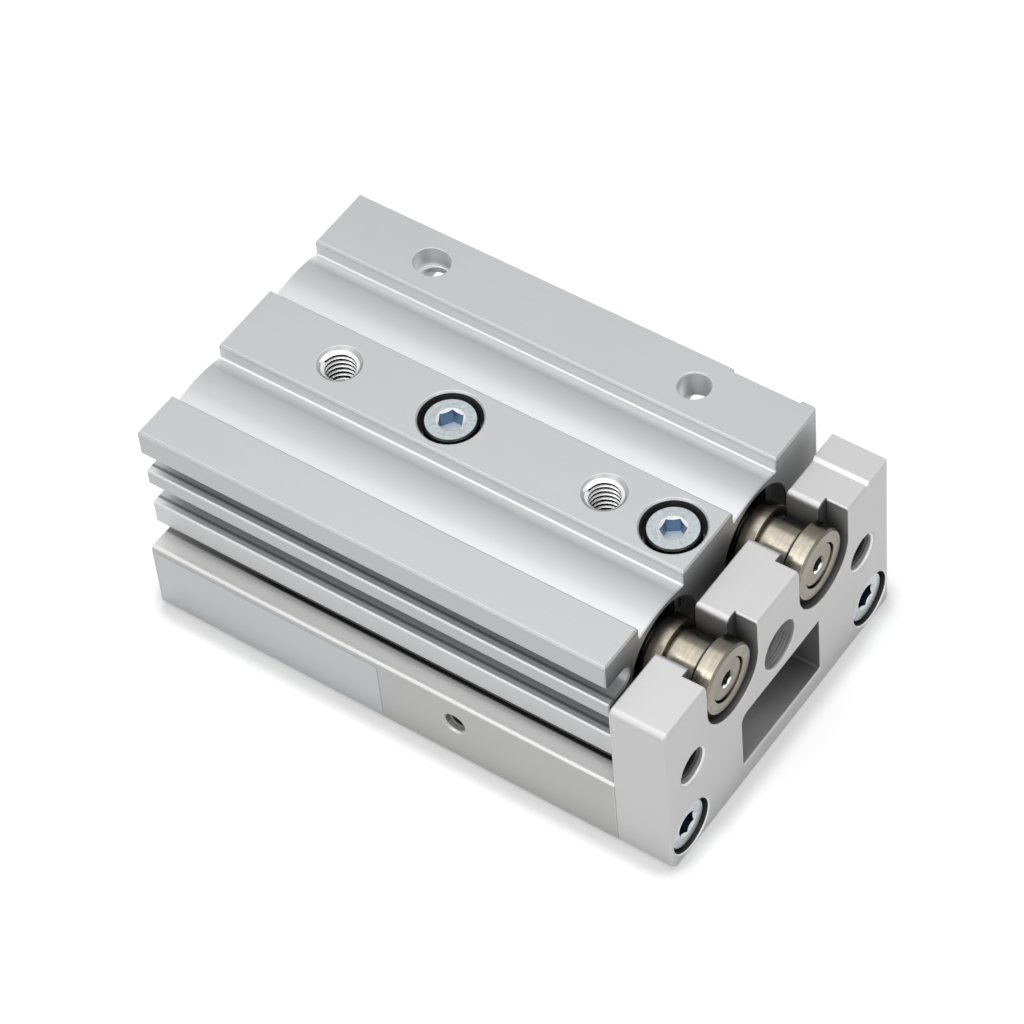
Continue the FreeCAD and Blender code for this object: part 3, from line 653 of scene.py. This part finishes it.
# %% [markdown]
# ## Threads
# Each tapped hole is a plain cylinder at the thread's outer size, so its ridges can stand inside
# it. One ridge is a four-sided profile spun round the axis while it climbs: bmesh's spin does both
# at once when it is given a step along the axis, which makes a true helix from four vertices.
# In the body's taps, flanks that face the mouth are painted bright for the light they catch and
# crests dark for shade; in the other holes both are painted grey or dark for shade. So each thread
# gets two finishes.

# %% Cut metal
def cut_metal(name, colour, roughness):
    """Freshly cut aluminium, without the skin that is on the faces around it."""
    metal = Finish(name)
    chatter = metal.grain(0.3, 0.3, 0.3, detail=3.0)
    low, high = roughness - 0.04, roughness + 0.04
    return metal.surface(Base_Color=metal.shade(chatter, colour, 0.08), Metallic=0.6,
                         Roughness=metal.between(chatter, 0.3, 0.7, low, high),
                         Normal=metal.bump(chatter, 0.002, 0.2))


# copies of one cut metal, painted lighter or darker for the light and shade in the holes
bright_flanks = cut_metal("bright_thread_flanks", (0.9, 0.9, 0.9), 0.3)
grey_flanks = cut_metal("grey_thread_flanks", (0.19, 0.19, 0.19), 0.35)
dark_flanks = cut_metal("dark_thread_flanks", (0.05, 0.05, 0.05), 0.35)
shaded_crests = cut_metal("shaded_thread_crests", (0.03, 0.03, 0.033), 0.4)
grey_crests = cut_metal("grey_thread_crests", (0.12, 0.12, 0.12), 0.4)
print("cut metal made")

# %% New pieces
def new_piece(name, mesh, body, slot, *finishes):
    """Turn a bmesh into an object that rides on a body of the model."""
    bmesh.ops.recalc_face_normals(mesh, faces=mesh.faces)
    data = bpy.data.meshes.new(name)
    mesh.to_mesh(data)
    mesh.free()
    piece = bpy.data.objects.new(name, data)
    bpy.context.scene.collection.objects.link(piece)
    for finish in finishes:
        data.materials.append(finish.data)
    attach(piece, body)
    print(name, len(data.polygons), "faces on", body)


def set_along(place, direction):
    """The matrix that takes Z to a direction and the origin to a place in millimetres."""
    turn = Vector(direction).to_track_quat("Z", "Y").to_matrix().to_4x4()
    return Matrix.Translation(Vector(place) * mm) @ turn


print("pieces can be made")

# %% One thread
pitches = {5: 0.8, 4: 0.7, 3: 0.5}
sink = 0.5 * mm
under_mouth = 0.05 * mm
steps, run_in_steps = 28, 14


def thread_ridge(mouth, inward, size, depth, early, phase):
    """One thread of a metric size, from a hole's countersunk mouth inwards, as a mesh of its own.
    It starts early by that share of the pitch, turned by phase degrees. What would stand free in
    the countersink is pushed out into the metal around it."""
    pitch = pitches[size] * mm
    wall = (size / 2 + 0.02) * mm
    crest = wall - 0.54 * pitch
    start = sink + (0.45 - early) * pitch
    ridge = bmesh.new()
    profile = [(wall, -0.45), (crest, -0.12), (crest, 0.25), (wall, 0.45)]
    corners = [ridge.verts.new((r, 0, start + h * pitch)) for r, h in profile]
    loop = [ridge.edges.new((a, b)) for a, b in zip(corners, corners[1:] + corners[:1])]
    turns = int((depth * mm - start) / pitch)
    swept = bmesh.ops.spin(ridge, geom=corners + loop, cent=(0, 0, 0), axis=(0, 0, 1),
                           angle=math.tau * turns, dvec=(0, 0, pitch / steps), steps=steps * turns)
    ends = loop + [e for e in swept["geom_last"] if isinstance(e, bmesh.types.BMEdge)]
    bmesh.ops.holes_fill(ridge, edges=ends, sides=4)
    for index, vert in enumerate(ridge.verts):
        vert.co.z = max(vert.co.z, under_mouth)
        radius = vert.co.xy.length
        run_in = wall - (wall - crest) * (index // 4 + 1) / run_in_steps
        below = vert.co.z - sink
        cone = wall + 0.03 * mm - below * (1 if below < 0 else 12)
        vert.co.xy *= max(radius, cone, min(run_in, wall)) / radius
    bmesh.ops.recalc_face_normals(ridge, faces=ridge.faces)
    for face in ridge.faces:
        face.material_index = 0 if face.normal.z < -0.3 else 1
    place = set_along(mouth, inward) @ Matrix.Rotation(math.radians(phase), 4, "Z")
    bmesh.ops.transform(ridge, matrix=place, verts=ridge.verts)
    data = bpy.data.meshes.new("thread")
    ridge.to_mesh(data)
    ridge.free()
    return data


print("steps in a turn", steps)

# %% Threads in all tapped holes
def threads(name, holes, inward, size, depth, body, slot, flanks, crests, early=0.0, phase=0):
    mesh = bmesh.new()
    for mouth in holes:
        ridge = thread_ridge(mouth, inward, size, depth, early, phase)
        mesh.from_mesh(ridge)
        bpy.data.meshes.remove(ridge)
    new_piece(name, mesh, body, slot, flanks, crests)


port_z = 26.9
side_tap = (7.9, 7.3)
body_taps = [(x, 0, body_top) for x in body_hole_x]
plate_taps = [(plate_front, y, plate_tap_z) for y in (-plate_tap_side, plate_tap_side)]
work_holes = [(x, y, 0) for x in (-19, 21) for y in (-18, 18)]
threads("body_threads", body_taps, (0, 0, -1), 5, 9, "body", "body_anodised",
        bright_flanks, shaded_crests, early=0.8, phase=170)
threads("port_thread_rear", [(-33.2, half_width, port_z)], (0, -1, 0), 5, 6, "body",
        "body_anodised", bright_flanks, shaded_crests)
threads("port_thread_front", [(22.2, 24.4, port_z)], (0, -1, 0), 5, 6, "body",
        "body_anodised", bright_flanks, shaded_crests)
threads("end_plate_threads", plate_taps, (-1, 0, 0), 5, 8, "table", "plate_anodised",
        dark_flanks, grey_crests)
threads("side_thread_near", [(side_tap[0], -half_width, side_tap[1])], (0, 1, 0), 3, 5, "table",
        "table_anodised", grey_flanks, grey_crests)
threads("side_thread_far", [(side_tap[0], half_width, side_tap[1])], (0, -1, 0), 3, 5, "table",
        "table_anodised", grey_flanks, grey_crests)
threads("work_hole_threads", work_holes, (0, 0, 1), 4, 8, "table", "table_anodised",
        grey_flanks, grey_crests)

# %% [markdown]
# ## Knurled screw heads
# A socket head screw has a knurl rolled round its head, so that fingers can turn it. It is a ring
# of fine teeth whose ends die out on the head's chamfer. We start from a circle with two vertices
# for each tooth, push every second one out, and extrude the edge loop up and inwards.

# %% Knurls
head_radius, head_tall, head_edge = 3.5, 3.9, 0.22
teeth, tooth_push = 48, 1.022


def knurl(name, heads, outward, body, finish):
    """heads are the centres of the screws' outer faces; outward points out of them."""
    mesh = bmesh.new()
    rises = ((head_tall - head_edge, 1.0), (0.06, 0.985), (-head_tall, 0.94))
    for head in heads:
        made = bmesh.ops.create_circle(mesh, segments=2 * teeth, radius=head_radius * mm)["verts"]
        bmesh.ops.translate(mesh, verts=made, vec=(0, 0, -head_tall * mm))
        bmesh.ops.scale(mesh, verts=made[::2], vec=(tooth_push, tooth_push, 1))
        loop = list({e for v in made for e in v.link_edges})
        rings = list(made)
        for rise, share in rises:
            grown = bmesh.ops.extrude_edge_only(mesh, edges=loop)["geom"]
            new = [v for v in grown if isinstance(v, bmesh.types.BMVert)]
            edges = [e for e in grown if isinstance(e, bmesh.types.BMEdge)]
            loop = [e for e in edges if all(v in new for v in e.verts)]
            bmesh.ops.translate(mesh, verts=new, vec=(0, 0, rise * mm))
            bmesh.ops.scale(mesh, verts=new, vec=(share, share, 1))
            rings += new
        first = [e for e in {e for v in made for e in v.link_edges} if e.is_boundary]
        bmesh.ops.bridge_loops(mesh, edges=first + loop)
        bmesh.ops.transform(mesh, matrix=set_along(head, outward), verts=rings)
    new_piece(name, mesh, body, "screw_zinc", finish)


rail_heads = [(x, 0, 30.6) for x in rail_screw_x]
plate_heads = [(39.4, y, plate_screw_z) for y in (-plate_screw_side, plate_screw_side)]
knurl("rail_screw_knurls", rail_heads, (0, 0, 1), "body", rail_zinc)
knurl("plate_screw_knurls", plate_heads, (1, 0, 0), "table", plate_zinc)

# %% [markdown]
# ## The bare foil plate
# A foil plate covers the back half of the table's near side: a thin sheet with clipped round
# corners, a shade cooler and smoother than the aluminium under it. A plane with its corners
# bevelled and then given a thickness is all the geometry it needs.

# %% Foil
def foil():
    sheet = Finish("bare_foil")
    brush = sheet.grain(14, 1, 0.12)
    tooth = sheet.grain(0.3, 0.3, 0.3, detail=3.0)
    tone = sheet.between(brush * 0.6 + tooth * 0.4, 0.3, 0.75, 0, 1)
    return sheet.surface(Base_Color=sheet.shade(tone, (0.49, 0.50, 0.51), 0.03), Metallic=0.7,
                         Roughness=sheet.between(tone, 0, 1, 0.34, 0.42),
                         Normal=sheet.bump(tone, 0.004, 0.4))


print("foil ready")

# %% Foil plate
rear, front, low, high = -38.6, -3.6, 1.0, 10.9
thick, corner_round = 0.05, 0.5
mesh = bmesh.new()
outline = ((rear, low), (front, low), (front, high), (rear, high))
corners = [mesh.verts.new((x * mm, -half_width * mm, z * mm)) for x, z in outline]
mesh.faces.new(corners)
bmesh.ops.bevel(mesh, geom=corners, offset=corner_round * mm, affect="VERTICES", segments=4,
                profile=0.5, material=-1)
grown = bmesh.ops.extrude_face_region(mesh, geom=list(mesh.faces))["geom"]
outer = [v for v in grown if isinstance(v, bmesh.types.BMVert)]
bmesh.ops.translate(mesh, verts=outer, vec=(0, -thick * mm, 0))
new_piece("blank_plate", mesh, "table", "table_anodised", foil())
